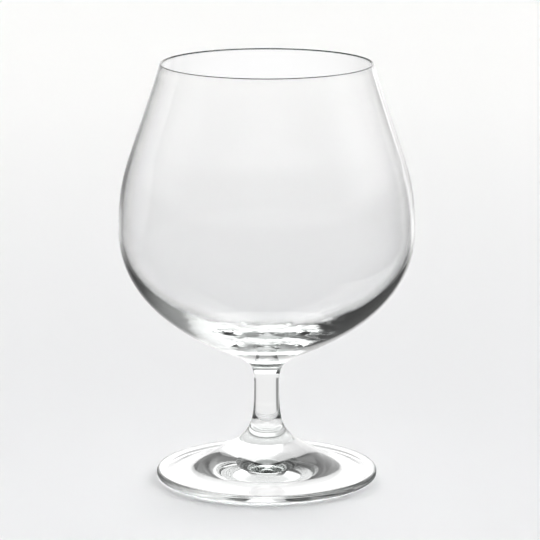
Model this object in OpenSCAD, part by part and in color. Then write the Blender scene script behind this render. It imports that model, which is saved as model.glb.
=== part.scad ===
// Balloon glass on a short stem, in clear colourless glass.
// Three pieces, hot-joined at two flat seams: a blown bowl, a drawn stem and a spun foot.
// The origin is on the axis, at the surface that the foot stands on.

/* [Bowl] */
// Outside diameter of the mouth
rim_d = 78.6; // [66:0.2:92]
// Largest diameter of the bowl
belly_d = 109.8; // [98:0.2:130]
// Height of the bowl, from its seam with the stem to the rim
bowl_h = 110; // [95:1:130]
// Height of the largest diameter above the seam
belly_h = 47.5; // [40:0.5:56]
// Wall at the rim
rim_wall = 0.8; // [0.6:0.1:1.6]
// Wall at the largest diameter
belly_wall = 1.4; // [1:0.1:2.4]
// Glass between the seam and the inside of the bowl, on the axis
floor_h = 5.7; // [4.5:0.1:9]
// Inward lean of the wall at the rim, from upright
rim_lean = 17; // [10:1:22]

/* [Stem] */
// Length of the stem, from seam to seam
stem_l = 32; // [26:1:60]
// Diameter at the waist, the thinnest place
waist_d = 9.5; // [8:0.1:12]
// Height of the waist above the foot's seam
waist_h = 20; // [16:0.5:22]
// Diameter of the seam between the stem and the bowl
neck_d = 22; // [18:0.5:26]
// Slope of the glass at that seam, above level
neck_slope = 33; // [25:1:40]
// Diameter of the seam between the stem and the foot
root_d = 21.2; // [18:0.2:26]
// Slope of the stem where it lands on the foot, below level
root_slope = 40; // [32:1:50]

/* [Foot] */
// Diameter of the foot
foot_d = 82.4; // [70:0.2:96]
// Height of the foot at its seam with the stem
foot_h = 14; // [12:0.5:18]
// Thickness of the rounded edge
edge_h = 2.9; // [2:0.1:4]
// Slope of the cone below the stem
cone_slope = 31; // [26:1:34]
// Slope of the brim at the edge
brim_slope = 3; // [1:1:6]
// Width of the flat ring that the foot stands on
ring_w = 2; // [1:0.2:4]
// Height of the hollow under the foot, on the axis
hollow_h = 5.2; // [3:0.2:7]
// Slope of the hollow where it leaves the ring
hollow_slope = 6; // [3:1:10]

/* [Hidden] */
$fn = 144;

// Steps of each free curve, and of each rounded edge
curve_steps = 32;
edge_steps = 8;

// Fullness of the curves: how far each end holds its direction, as a share of the span it crosses
belly_up_hold = 0.37;
lip_hold = 0.64;
belly_down_hold = 0.69;
underside_hold = 0.09;
inner_down_hold = 0.72;
inner_floor_hold = 0.26;
root_hold = 0.97;
waist_down_hold = 0.49;
waist_up_hold = 0.66;
neck_hold = 0.90;
cone_hold = 0.70;
brim_hold = 0.47;
hollow_rim_hold = 0.40;
hollow_top_hold = 0.35;

rim_r = rim_d / 2;
belly_r = belly_d / 2;
waist_r = waist_d / 2;
neck_r = neck_d / 2;
root_r = root_d / 2;
foot_r = foot_d / 2;
edge_r = edge_h / 2;

// Heights above the table
neck_z = foot_h + stem_l;
belly_z = neck_z + belly_h;
rim_z = neck_z + bowl_h;
waist_z = foot_h + waist_h;
floor_z = neck_z + floor_h;

// Points of a cubic curve from a towards b, arriving at d from c; d itself starts the next stretch
function curve(a, b, c, d) =
    [for (i = [0 : curve_steps - 1])
        let (t = i / curve_steps, s = 1 - t)
        s * s * s * a + 3 * s * s * t * b + 3 * s * t * t * c + t * t * t * d];

// Points of an arc about a centre, both ends included
function arc(centre, r, from, to) =
    [for (i = [0 : edge_steps]) polar(centre, r, from + (to - from) * i / edge_steps)];

// Point at a distance from p in the direction of an angle, counted from outward towards up
function polar(p, distance, angle) = p + distance * [cos(angle), sin(angle)];

// Seam, belly and rim of the bowl, outside and inside
neck_p = [neck_r, neck_z];
belly_out = [belly_r, belly_z];
belly_in = [belly_r - belly_wall, belly_z];
floor_p = [0, floor_z];
rim_centre = [rim_r - rim_wall / 2, rim_z - rim_wall / 2];
rim_out = polar(rim_centre, rim_wall / 2, rim_lean);
rim_in = polar(rim_centre, rim_wall / 2, rim_lean + 180);
upper_span = rim_z - belly_z;

// The outer wall climbs from the seam round the belly to the rim
bowl_outside = concat(
    curve(neck_p,
          polar(neck_p, underside_hold * (belly_r - neck_r), neck_slope),
          belly_out - [0, belly_down_hold * belly_h],
          belly_out),
    curve(belly_out,
          belly_out + [0, belly_up_hold * upper_span],
          polar(rim_out, lip_hold * upper_span, rim_lean - 90),
          rim_out));

// The fire-polished lip rolls over, with its top at the full height
lip = concat(
    [for (i = [0 : edge_steps - 1])
        polar(rim_centre, rim_wall / 2, rim_lean + (90 - rim_lean) * i / edge_steps)],
    [for (i = [0 : edge_steps - 1])
        polar(rim_centre, rim_wall / 2, 90 + (90 + rim_lean) * i / edge_steps)]);

// The inner wall falls from the lip to the thick floor, and the glass grows thicker on the way
bowl_inside = concat(
    curve(rim_in,
          polar(rim_in, lip_hold * upper_span, rim_lean - 90),
          belly_in + [0, belly_up_hold * upper_span],
          belly_in),
    curve(belly_in,
          belly_in - [0, inner_down_hold * (belly_z - floor_z)],
          floor_p + [inner_floor_hold * belly_in[0], 0],
          floor_p));

// The stem's outline, from the foot's seam through the waist to the bowl's seam
root_p = [root_r, foot_h];
waist_p = [waist_r, waist_z];
stem_outline = concat(
    curve(root_p,
          polar(root_p, root_hold * (root_r - waist_r) / cos(root_slope), 180 - root_slope),
          waist_p - [0, waist_down_hold * waist_h],
          waist_p),
    curve(waist_p,
          waist_p + [0, waist_up_hold * (stem_l - waist_h)],
          polar(neck_p, neck_hold * (neck_r - waist_r) / cos(neck_slope), 180 + neck_slope),
          neck_p));

// The foot's cone and brim, its rounded edge, and the hollow inside the ring it stands on
edge_centre = [foot_r - edge_r, edge_r];
brim_p = polar(edge_centre, edge_r, 90 - brim_slope);
ring_p = [foot_r - edge_r - ring_w, 0];
hollow_p = [0, hollow_h];
foot_span = brim_p[0] - root_r;
foot_top = curve(root_p,
                 polar(root_p, cone_hold * foot_span, -cone_slope),
                 polar(brim_p, brim_hold * foot_span, 180 - brim_slope),
                 brim_p);
foot_hollow = curve(ring_p,
                    polar(ring_p, hollow_rim_hold * ring_p[0], 180 - hollow_slope),
                    hollow_p + [hollow_top_hold * ring_p[0], 0],
                    hollow_p);

module bowl() {
    color("azure", 0.35)
        rotate_extrude()
            polygon(concat(bowl_outside, lip, bowl_inside, [floor_p, [0, neck_z]]));
}

module stem() {
    color("azure", 0.35)
        rotate_extrude()
            polygon(concat([[0, foot_h]], stem_outline, [neck_p, [0, neck_z]]));
}

module foot() {
    color("azure", 0.35)
        rotate_extrude()
            polygon(concat(foot_top, arc(edge_centre, edge_r, 90 - brim_slope, -90),
                           foot_hollow, [hollow_p, [0, foot_h]]));
}

bowl();
stem();
foot();
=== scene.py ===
"""Studio scene for the balloon glass.

Its bowl, stem and foot are turned again in clear glass, each from the outline of its solid.
"""

import math

import bmesh
import bpy
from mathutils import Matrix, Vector


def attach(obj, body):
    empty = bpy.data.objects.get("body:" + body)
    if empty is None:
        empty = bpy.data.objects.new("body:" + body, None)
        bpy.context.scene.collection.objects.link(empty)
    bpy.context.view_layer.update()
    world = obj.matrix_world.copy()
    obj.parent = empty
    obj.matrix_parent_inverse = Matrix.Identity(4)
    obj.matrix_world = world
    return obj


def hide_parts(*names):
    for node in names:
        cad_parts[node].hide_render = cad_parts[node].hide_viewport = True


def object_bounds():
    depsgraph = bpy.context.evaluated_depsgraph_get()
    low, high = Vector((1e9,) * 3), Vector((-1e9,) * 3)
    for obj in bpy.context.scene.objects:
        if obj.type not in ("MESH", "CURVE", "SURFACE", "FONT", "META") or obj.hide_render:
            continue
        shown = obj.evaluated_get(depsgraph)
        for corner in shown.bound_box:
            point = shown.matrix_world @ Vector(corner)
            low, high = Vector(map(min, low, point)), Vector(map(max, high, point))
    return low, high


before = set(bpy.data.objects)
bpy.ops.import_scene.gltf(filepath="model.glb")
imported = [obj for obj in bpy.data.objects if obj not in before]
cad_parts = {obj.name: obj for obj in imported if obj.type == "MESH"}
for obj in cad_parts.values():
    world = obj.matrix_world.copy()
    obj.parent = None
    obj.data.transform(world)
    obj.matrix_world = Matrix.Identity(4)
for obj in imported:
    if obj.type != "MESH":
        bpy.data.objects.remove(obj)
cad_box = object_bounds()

# Camera, in metres, degrees and millimetres of lens
AIM = Vector((0.0012, 0.0, 0.0784))
CAMERA_PITCH = 11.95
CAMERA_DISTANCE = 1.1827
LENS_MM = 212.3
SENSOR_MM = 36.0

# Pieces, each with the ends of its outline that a fused seam closes: 0 is the first end and -1 the last
PIECES = {"bowl": (0,), "stem": (0, -1), "foot": (-1,)}
# Material slots of a piece
GLASS, SEAM, LIP = range(3)

# Meshes: how finely they are turned and rounded, and what counts as in the plane of the outline, on the
# axis, straight or level
TURN_SEGMENTS = 192
STEPS_PER_SPAN = 3
FLOOR_SEGMENTS = 128
DECIMALS = 7
IN_PLANE = 1e-7
ON_AXIS = 1e-6
STRAIGHT_ANGLE = math.radians(0.02)
LEVEL = 1e-5
# Power of the oval that the foot's edge follows: 2 is round, and more is squarer
EDGE_POWER = 3.0

# Glass: its density and colour give what a metre of it swallows
WHITE = (1, 1, 1, 1)
GLASS_IOR = 1.52
GLASS_DENSITY = 6.0
GLASS_COLOUR = (0.74, 0.78, 0.76, 1)
# Waves that blowing leaves on its skin, with their shares in the foot, round the stem and in the upper wall,
# and the heights where one share goes over into the next
WAVE_SIZE = 0.004
WAVE_DETAIL = 1.0
WAVE_HEIGHT = 0.00004
WAVE_SHARES = (0.2, 1.0, 0.15)
WAVE_RISE = (0.014, 0.03)
WAVE_FADE = (0.06, 0.08)
# Faint smears, where it is less smooth
SMEAR_SIZE = 0.02
SMEAR_DETAIL = 3.0
SMEAR_SPREAD = (0.4, 0.7)
SMEAR_ROUGHNESS = (0.0, 0.03)
# The narrow lip is tinted dark, a painted shade that draws the thin dark line of the rim
LIP_HEIGHT = 0.0005
LIP_PAINTED_SHADE = (0.12, 0.12, 0.12, 1)
LIGHT_BOUNCES = 32

# Floor: its colours near the glass and far from it, at distances in metres, and its drop below the foot. The
# darker, bluer colour near the glass is painted shade, and the paler, warmer colour far off is painted light
FLOOR_RADIUS = 8.0
FLOOR_DROP = 0.00002
FLOOR_NEAR = (0.827, 0.829, 0.836, 1)
FLOOR_FAR = (0.972, 0.968, 0.957, 1)
FLOOR_REACH = (0.0, 1.2)

# Light on the floor: an even fill, and a light from behind. Angles here and below are in degrees, to the
# right or left of straight behind the glass, or above the table. A pair says where a soft edge starts and
# ends, and four say where a band starts, is full, is full no longer and ends
FILL = 0.27
BACKLIGHT = 19.6
BACKLIGHT_SIDES = (-40, -20, 35, 60)
BACKLIGHT_BAND = (5, 10, 20, 32)

# The background is white. The studio that the glass shows has a bright panel behind the glass, which widens
# to the left by a share of the height, lights overhead and at the right, and a dark room
BACKGROUND = 1.0
PANEL_GLOW = 1.5
PANEL_RIGHT = (52, 70)
PANEL_LEFT = (29, 34)
PANEL_WIDENS = 0.3
PANEL_TOP = (36, 54)
OVERHEAD_GLOW = 3.5
OVERHEAD = (54, 66)
SIDE_GLOW = 0.45
SIDE = (0, 65, 65, 125)
ROOM_GLOW = 0.05
# Through both walls the background is white up to this height, and the dark room is above
CLEAR_BELOW = (8, 16)
# The near wall shows less of the panel, a lamp that is brighter higher up, and an even light in front
NEAR_RIGHT = (26, 36)
NEAR_LEFT = (6, 16)
LAMP_GLOWS = (0.35, 1.15)
LAMP_RISE = (0, 11)
LAMP_TOP = (56, 70)
LAMP_LEFT = (0, 20)
LAMP_LEFT_SHARE = 0.65
FRONT = (85, 125)
FRONT_GLOW = 0.48
# The far wall shows a panel that fades to the right, and a pale haze
FAR_RIGHT = (0, 90)
HAZE_GLOW = 0.6

# The table that the glass shows, at distances in metres, is painted light and painted shade: it glows bright
# in a sector behind the glass, whose left and right ends move by an angle further off, and dim elsewhere,
# with one shade close to the glass and another away from it
TABLE_GLOW = 0.85
TABLE_LEFT = (16, 22)
TABLE_RIGHT = (20, 26)
TABLE_WIDE = (10, 37)
TABLE_FAR = (0.06, 0.3)
TABLE_CLOSE = (0.035, 0.055)
TABLE_DIMS = (0.2, 0.15)
# The same as the near wall shows it, and the dim shades that the far wall shows. Both walls have one glow
WALL_TABLE_GLOW = 1.05
NEAR_TABLE_LEFT = (12, 42)
NEAR_TABLE_RIGHT = (30, 38)
NEAR_TABLE_WIDE = (-12, 2)
NEAR_TABLE_FAR = (0.3, 1.0)
NEAR_TABLE_CLOSE = (0.02, 0.04)
NEAR_TABLE_DIMS = (0.8, 0.2)
FAR_TABLE_CLOSE = (0.1, 0.25)
FAR_TABLE_DIMS = (1.0, 0.45)
# The table seen straight through solid glass: painted light, pale, and painted shade at the sides, which
# lines the stem with dark
CLEAR_SHADES = (0.93, 1.03)
CLEAR_REACH = (0.5, 0.9)
STEM_SHADE = 0.3
STEM_SHADE_RIGHT = (44, 52)
STEM_SHADE_LEFT = (32, 38, 52, 62)
STEM_SHADE_REACH = (0.2, 0.26)


def outline_of(node):
    """The half outline of a turned solid as (radius, height), from its lower end to its upper."""
    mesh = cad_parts[node].data
    in_plane = {}
    for vertex in mesh.vertices:
        if abs(vertex.co.y) < IN_PLANE and vertex.co.x > -IN_PLANE:
            in_plane[vertex.index] = (round(max(vertex.co.x, 0.0), DECIMALS), round(vertex.co.z, DECIMALS))
    links = {}
    for edge in mesh.edges:
        a, b = edge.vertices
        if a in in_plane and b in in_plane and in_plane[a] != in_plane[b]:
            links.setdefault(in_plane[a], set()).add(in_plane[b])
            links.setdefault(in_plane[b], set()).add(in_plane[a])
    ends = [point for point, near in links.items() if len(near) == 1]
    path = [min(ends, key=lambda point: point[1])]
    while True:
        onward = [point for point in links[path[-1]] if point not in path[-2:]]
        if not onward:
            return [Vector(point) for point in path]
        path.append(onward[0])


def bends_only(path):
    """The path without the points that lie on a straight stretch between their neighbours."""
    kept = [path[0]]
    for before, here, after in zip(path, path[1:], path[2:]):
        if (here - before).angle(after - here) > STRAIGHT_ANGLE:
            kept.append(here)
    return kept + [path[-1]]


def rounded(path):
    """One smooth curve through the points of the path, in short steps. Level spans stay level."""
    spans = [(b - a).length for a, b in zip(path, path[1:])]
    slopes = [(b - a) / length for a, b, length in zip(path, path[1:], spans)]
    tangents = [slopes[0]]
    for i in range(1, len(slopes)):
        level = [slope for slope in slopes[i - 1:i + 1] if abs(slope.y) < LEVEL]
        share = spans[i - 1] / (spans[i - 1] + spans[i])
        tangents.append(level[0] if level else slopes[i - 1].lerp(slopes[i], share))
    tangents.append(slopes[-1])
    curve = []
    for i, length in enumerate(spans):
        for step in range(STEPS_PER_SPAN):
            t = step / STEPS_PER_SPAN
            start = (1 + 2 * t) * (1 - t) ** 2
            leave = t * (1 - t) ** 2 * length
            arrive = t * t * (t - 1) * length
            curve.append(path[i] * start + path[i + 1] * (1 - start)
                         + tangents[i] * leave + tangents[i + 1] * arrive)
    return curve + [path[-1]]


def squarer_edge(path):
    """The foot's path with its half round edge made a little squarer, within the same width and height."""
    widest = max(path, key=lambda point: point.x)
    half = widest.y
    centre = Vector((widest.x - half, half))
    result = []
    for point in path:
        offset = point - centre
        if offset.x > 0:
            reach = (offset.x ** EDGE_POWER + abs(offset.y) ** EDGE_POWER) ** (1 / EDGE_POWER)
            point = centre + offset * offset.length / reach
        result.append(point)
    return result


def turned(name, path, seams):
    """A closed mesh, the path turned about Z, with a flat disc at each end of the path that is a seam."""
    mesh = bmesh.new()
    lip = cad_box[1][2] - LIP_HEIGHT
    rings = []
    for radius, height in path:
        if radius < ON_AXIS:
            rings.append([mesh.verts.new((0, 0, height))])
            continue
        ring = []
        for i in range(TURN_SEGMENTS):
            angle = 2 * math.pi * i / TURN_SEGMENTS
            ring.append(mesh.verts.new((radius * math.cos(angle), radius * math.sin(angle), height)))
        rings.append(ring)
    for low, high in zip(rings, rings[1:]):
        for i in range(TURN_SEGMENTS):
            j = (i + 1) % TURN_SEGMENTS
            corners = [low[i % len(low)], low[j % len(low)], high[j % len(high)], high[i % len(high)]]
            face = mesh.faces.new(list(dict.fromkeys(corners)))
            face.smooth = True
            face.material_index = LIP if face.calc_center_median().z > lip else GLASS
    for end in seams:
        disc = mesh.faces.new(rings[end])
        disc.material_index = SEAM
        for edge in disc.edges:
            edge.smooth = False
    bmesh.ops.recalc_face_normals(mesh, faces=mesh.faces)
    return new_object(name, mesh)


def new_object(name, mesh):
    data = bpy.data.meshes.new(name)
    mesh.to_mesh(data)
    mesh.free()
    result = bpy.data.objects.new(name, data)
    bpy.context.scene.collection.objects.link(result)
    return result


def new_material(name):
    material = bpy.data.materials.new(name)
    material.use_nodes = True
    material.node_tree.nodes.clear()
    return material, material.node_tree


def add_node(tree, kind, inputs=(), **settings):
    """A new node of a kind, with its settings. Each input, by name or number, is a value or a socket."""
    node = tree.nodes.new("ShaderNode" + kind)
    for name, value in settings.items():
        setattr(node, name, value)
    for name, value in dict(inputs).items():
        if isinstance(value, bpy.types.NodeSocket):
            tree.links.new(value, node.inputs[name])
        else:
            node.inputs[name].default_value = value
    return node


def math_node(tree, operation, a, b):
    return add_node(tree, "Math", {0: a, 1: b}, operation=operation).outputs[0]


def more_than(tree, depth, count):
    """1 where a depth, which is a whole number, is more than count."""
    return math_node(tree, "GREATER_THAN", depth, count + 0.5)


def reversed_share(tree, share):
    return math_node(tree, "SUBTRACT", 1.0, share)


def product(tree, *factors):
    result = factors[0]
    for factor in factors[1:]:
        result = math_node(tree, "MULTIPLY", result, factor)
    return result


def largest(tree, *values):
    result = values[0]
    for value in values[1:]:
        result = math_node(tree, "MAXIMUM", result, value)
    return result


def mixed(tree, share, without, full):
    """without where the share is 0, and full where it is 1."""
    return add_node(tree, "Mix", {"Factor": share, "A": without, "B": full}, data_type="FLOAT").outputs[0]


def ramp(tree, socket, start, end, low, high):
    """low up to start, high past end, and a smooth step between."""
    inputs = {"Value": socket, "From Min": start, "From Max": end, "To Min": low, "To Max": high}
    return add_node(tree, "MapRange", inputs, interpolation_type="SMOOTHSTEP").outputs["Result"]


def angle_ramp(tree, angle, start, end, low, high):
    """A ramp over an angle, with its start and end in degrees."""
    return ramp(tree, angle, math.radians(start), math.radians(end), low, high)


def fade(tree, angle, full, none):
    """1 where the angle has not reached full, and 0 past none, in degrees."""
    return angle_ramp(tree, angle, full, none, 1.0, 0.0)


def band(tree, angle, rise, full, to_full, fall):
    """1 between two angles, with a soft edge on either side, in degrees."""
    return product(tree, angle_ramp(tree, angle, rise, full, 0.0, 1.0), fade(tree, angle, to_full, fall))


def azimuths(tree, axes):
    """The angle to the right of straight behind the glass, and to the left of it."""
    right = math_node(tree, "ARCTAN2", axes["X"], axes["Y"])
    return right, math_node(tree, "MULTIPLY", right, -1.0)


class Rays:
    """How the light that is asked for reaches the camera: each a share of 1 or 0."""

    def __init__(self, tree):
        path = add_node(tree, "LightPath").outputs
        self.on_floor = more_than(tree, path["Diffuse Depth"], 0)
        seen = reversed_share(tree, self.on_floor)
        bounced = more_than(tree, path["Glossy Depth"], 0)
        again = more_than(tree, path["Glossy Depth"], 1)
        bent = more_than(tree, path["Transmission Depth"], 0)
        # Two walls have four surfaces
        two_walls = more_than(tree, path["Transmission Depth"], 3)
        one_wall = reversed_share(tree, two_walls)
        direct = product(tree, seen, reversed_share(tree, bounced))
        once = product(tree, seen, bounced, reversed_share(tree, again))
        self.through_walls = product(tree, direct, two_walls)
        self.through_solid = product(tree, direct, bent, one_wall)
        self.trapped = product(tree, seen, again)
        self.off_far_wall = product(tree, once, two_walls)
        self.off_near_wall = product(tree, once, one_wall)
        self.redirected = largest(tree, self.off_near_wall, self.off_far_wall, self.trapped,
                                  self.through_solid)


def body_of_glass(tree):
    """The faint colour that shows where light goes a long way through the glass."""
    body = add_node(tree, "VolumeAbsorption", {"Color": GLASS_COLOUR, "Density": GLASS_DENSITY})
    return body.outputs[0]


def clear_glass(name, colour=WHITE):
    """Glass with waves and smears on its skin."""
    material, tree = new_material(name)
    place = add_node(tree, "TexCoord").outputs["Object"]
    height = add_node(tree, "SeparateXYZ", {0: place}).outputs["Z"]
    waves = add_node(tree, "TexNoise", {"Vector": place, "Scale": 1 / WAVE_SIZE, "Detail": WAVE_DETAIL})
    swell = product(tree, waves.outputs[0], ramp(tree, height, *WAVE_RISE, *WAVE_SHARES[:2]),
                    ramp(tree, height, *WAVE_FADE, *WAVE_SHARES[1:]))
    skin = add_node(tree, "Bump", {"Height": swell, "Distance": WAVE_HEIGHT})
    smears = add_node(tree, "TexNoise", {"Vector": place, "Scale": 1 / SMEAR_SIZE, "Detail": SMEAR_DETAIL})
    dullness = ramp(tree, smears.outputs[0], *SMEAR_SPREAD, *SMEAR_ROUGHNESS)
    inputs = {"Base Color": colour, "Transmission Weight": 1.0, "IOR": GLASS_IOR,
              "Roughness": dullness, "Normal": skin.outputs["Normal"]}
    glass = add_node(tree, "BsdfPrincipled", inputs)
    add_node(tree, "OutputMaterial", {"Surface": glass.outputs["BSDF"], "Volume": body_of_glass(tree)})
    return material


def seam_glass():
    """Where two pieces are fused there is no surface for light to meet, so it goes straight through."""
    material, tree = new_material("fused_seam")
    clear = add_node(tree, "BsdfTransparent")
    add_node(tree, "OutputMaterial", {"Surface": clear.outputs["BSDF"], "Volume": body_of_glass(tree)})
    return material


def sector(tree, reach, right, left, right_end, left_end, far, wide):
    """1 in a sector of the table behind the glass, whose ends move by the angles wide over the span far."""
    wider_left, wider_right = [ramp(tree, reach, *far, 0.0, math.radians(angle)) for angle in wide]
    return product(tree, fade(tree, math_node(tree, "SUBTRACT", right, wider_right), *right_end),
                   fade(tree, math_node(tree, "SUBTRACT", left, wider_left), *left_end))


def pale_floor():
    """A matte floor, which light that the glass redirects sees as a glowing table, painted bright or dim:
    painted light and painted shade.
    """
    material, tree = new_material("pale_floor")
    rays = Rays(tree)
    place = add_node(tree, "TexCoord").outputs["Object"]
    reach = add_node(tree, "VectorMath", {0: place}, operation="LENGTH").outputs["Value"]
    right, left = azimuths(tree, add_node(tree, "SeparateXYZ", {0: place}).outputs)

    # Inputs 6 and 7 of a mix are its colours, and output 2 is the mixed one
    # The floor's colour goes from painted shade near the glass to painted light far off
    far_share = ramp(tree, reach, *FLOOR_REACH, 0.0, 1.0)
    plain = add_node(tree, "Mix", {0: far_share, 6: FLOOR_NEAR, 7: FLOOR_FAR}, data_type="RGBA").outputs[2]
    matte = add_node(tree, "BsdfDiffuse", {"Color": plain})

    bright = sector(tree, reach, right, left, TABLE_RIGHT, TABLE_LEFT, TABLE_FAR, TABLE_WIDE)
    near_bright = sector(tree, reach, right, left,
                         NEAR_TABLE_RIGHT, NEAR_TABLE_LEFT, NEAR_TABLE_FAR, NEAR_TABLE_WIDE)
    dim = ramp(tree, reach, *TABLE_CLOSE, *TABLE_DIMS)
    dim = mixed(tree, rays.off_near_wall, dim, ramp(tree, reach, *NEAR_TABLE_CLOSE, *NEAR_TABLE_DIMS))
    dim = mixed(tree, rays.off_far_wall, dim, ramp(tree, reach, *FAR_TABLE_CLOSE, *FAR_TABLE_DIMS))
    glow = mixed(tree, rays.trapped, WALL_TABLE_GLOW, TABLE_GLOW)
    table = mixed(tree, mixed(tree, rays.off_near_wall, bright, near_bright), dim, glow)

    # Painted shade on the floor beside the stem
    beside = largest(tree, angle_ramp(tree, right, *STEM_SHADE_RIGHT, 0.0, 1.0),
                     band(tree, left, *STEM_SHADE_LEFT))
    shaded = product(tree, beside, ramp(tree, reach, *TABLE_CLOSE, 0.0, 1.0),
                     ramp(tree, reach, *STEM_SHADE_REACH, 1.0, 0.0))
    clear = mixed(tree, shaded, ramp(tree, reach, *CLEAR_REACH, *CLEAR_SHADES), STEM_SHADE)
    # For light that the glass redirects, the floor glows with this painted light and painted shade in place
    # of its matte shading
    lit = add_node(tree, "Emission", {"Strength": mixed(tree, rays.through_solid, table, clear)})
    surface = add_node(tree, "MixShader", {0: rays.redirected, 1: matte.outputs[0], 2: lit.outputs[0]})
    add_node(tree, "OutputMaterial", {"Surface": surface.outputs[0]})
    return material


def add_floor():
    mesh = bmesh.new()
    bmesh.ops.create_circle(mesh, cap_ends=True, segments=FLOOR_SEGMENTS, radius=FLOOR_RADIUS)
    floor = new_object("floor", mesh)
    floor.data.materials.append(pale_floor())
    floor.location.z = -FLOOR_DROP


def studio_light(tree, rays, height, right, left):
    """What light that comes through the glass, or off it, sees round it."""
    below_top = fade(tree, height, *PANEL_TOP)
    wider = math_node(tree, "MULTIPLY", height, PANEL_WIDENS)
    right_end = mixed(tree, rays.off_far_wall,
                      fade(tree, right, *PANEL_RIGHT), fade(tree, right, *FAR_RIGHT))
    left_end = fade(tree, math_node(tree, "SUBTRACT", left, wider), *PANEL_LEFT)
    near_ends = product(tree, fade(tree, right, *NEAR_RIGHT), fade(tree, left, *NEAR_LEFT))
    ends = mixed(tree, rays.off_near_wall, product(tree, right_end, left_end), near_ends)
    panel = product(tree, ends, below_top, PANEL_GLOW)

    lamp = product(tree, angle_ramp(tree, height, *LAMP_RISE, *LAMP_GLOWS), fade(tree, height, *LAMP_TOP),
                   angle_ramp(tree, left, *LAMP_LEFT, 1.0, LAMP_LEFT_SHARE))
    lamp = mixed(tree, fade(tree, largest(tree, right, left), *FRONT), FRONT_GLOW, lamp)
    overhead = angle_ramp(tree, height, *OVERHEAD, 0.0, OVERHEAD_GLOW)
    beside = product(tree, band(tree, right, *SIDE), below_top, SIDE_GLOW)
    room = mixed(tree, rays.off_near_wall, largest(tree, overhead, beside, ROOM_GLOW), lamp)
    studio = largest(tree, panel, mixed(tree, rays.off_far_wall, room, HAZE_GLOW))
    return mixed(tree, rays.through_walls, studio, ROOM_GLOW)


def add_world():
    """White behind the glass, the studio in what the glass shows, and the light on the floor."""
    world = bpy.data.worlds.new("studio")
    world.use_nodes = True
    tree = world.node_tree
    tree.nodes.clear()
    rays = Rays(tree)
    direction = add_node(tree, "TexCoord").outputs["Generated"]
    axes = add_node(tree, "SeparateXYZ", {0: direction}).outputs
    height = add_node(tree, "Math", {0: axes["Z"]}, operation="ARCSINE").outputs[0]
    right, left = azimuths(tree, axes)

    studio = studio_light(tree, rays, height, right, left)
    clear = product(tree, rays.through_walls, fade(tree, height, *CLEAR_BELOW))
    in_glass = largest(tree, rays.redirected, rays.through_walls)
    seen = mixed(tree, product(tree, in_glass, reversed_share(tree, clear)), BACKGROUND, studio)
    backlight = product(tree, band(tree, right, *BACKLIGHT_SIDES), band(tree, height, *BACKLIGHT_BAND),
                        BACKLIGHT)
    strength = mixed(tree, rays.on_floor, seen, math_node(tree, "ADD", backlight, FILL))
    light = add_node(tree, "Background", {"Color": WHITE, "Strength": strength})
    add_node(tree, "OutputWorld", {"Surface": light.outputs[0]})
    # The rays find this light themselves, since it depends on their paths
    world.cycles.sampling_method = "NONE"
    bpy.context.scene.world = world


def add_camera():
    camera = bpy.data.cameras.new("camera")
    camera.sensor_width = SENSOR_MM
    camera.lens = LENS_MM
    pitch = math.radians(CAMERA_PITCH)
    holder = bpy.data.objects.new("camera", camera)
    holder.location = AIM + CAMERA_DISTANCE * Vector((0, -math.cos(pitch), math.sin(pitch)))
    holder.rotation_euler = (math.pi / 2 - pitch, 0, 0)
    bpy.context.scene.collection.objects.link(holder)
    bpy.context.scene.camera = holder


fused = seam_glass()
for node, seams in PIECES.items():
    path = rounded(bends_only(outline_of(node)))
    if node == "foot":
        path = squarer_edge(path)
    piece = turned(node + "_glass", path, seams)
    piece.data.materials.append(clear_glass(node + "_glass"))
    piece.data.materials.append(fused)
    if node == "bowl":
        # The lip's dark tint is painted shade for the thin dark line of the rim
        piece.data.materials.append(clear_glass("lip_painted_shade_glass", LIP_PAINTED_SHADE))
    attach(piece, "root")
    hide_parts(node)

add_floor()
add_world()
add_camera()
bpy.context.scene.view_settings.view_transform = "Standard"
# Light is followed far through the glass, with no blur and no limit on how bright it is
cycles = bpy.context.scene.cycles
cycles.max_bounces = LIGHT_BOUNCES
cycles.glossy_bounces = LIGHT_BOUNCES
cycles.transmission_bounces = LIGHT_BOUNCES
cycles.transparent_max_bounces = LIGHT_BOUNCES
cycles.blur_glossy = 0.0
cycles.sample_clamp_indirect = 0.0
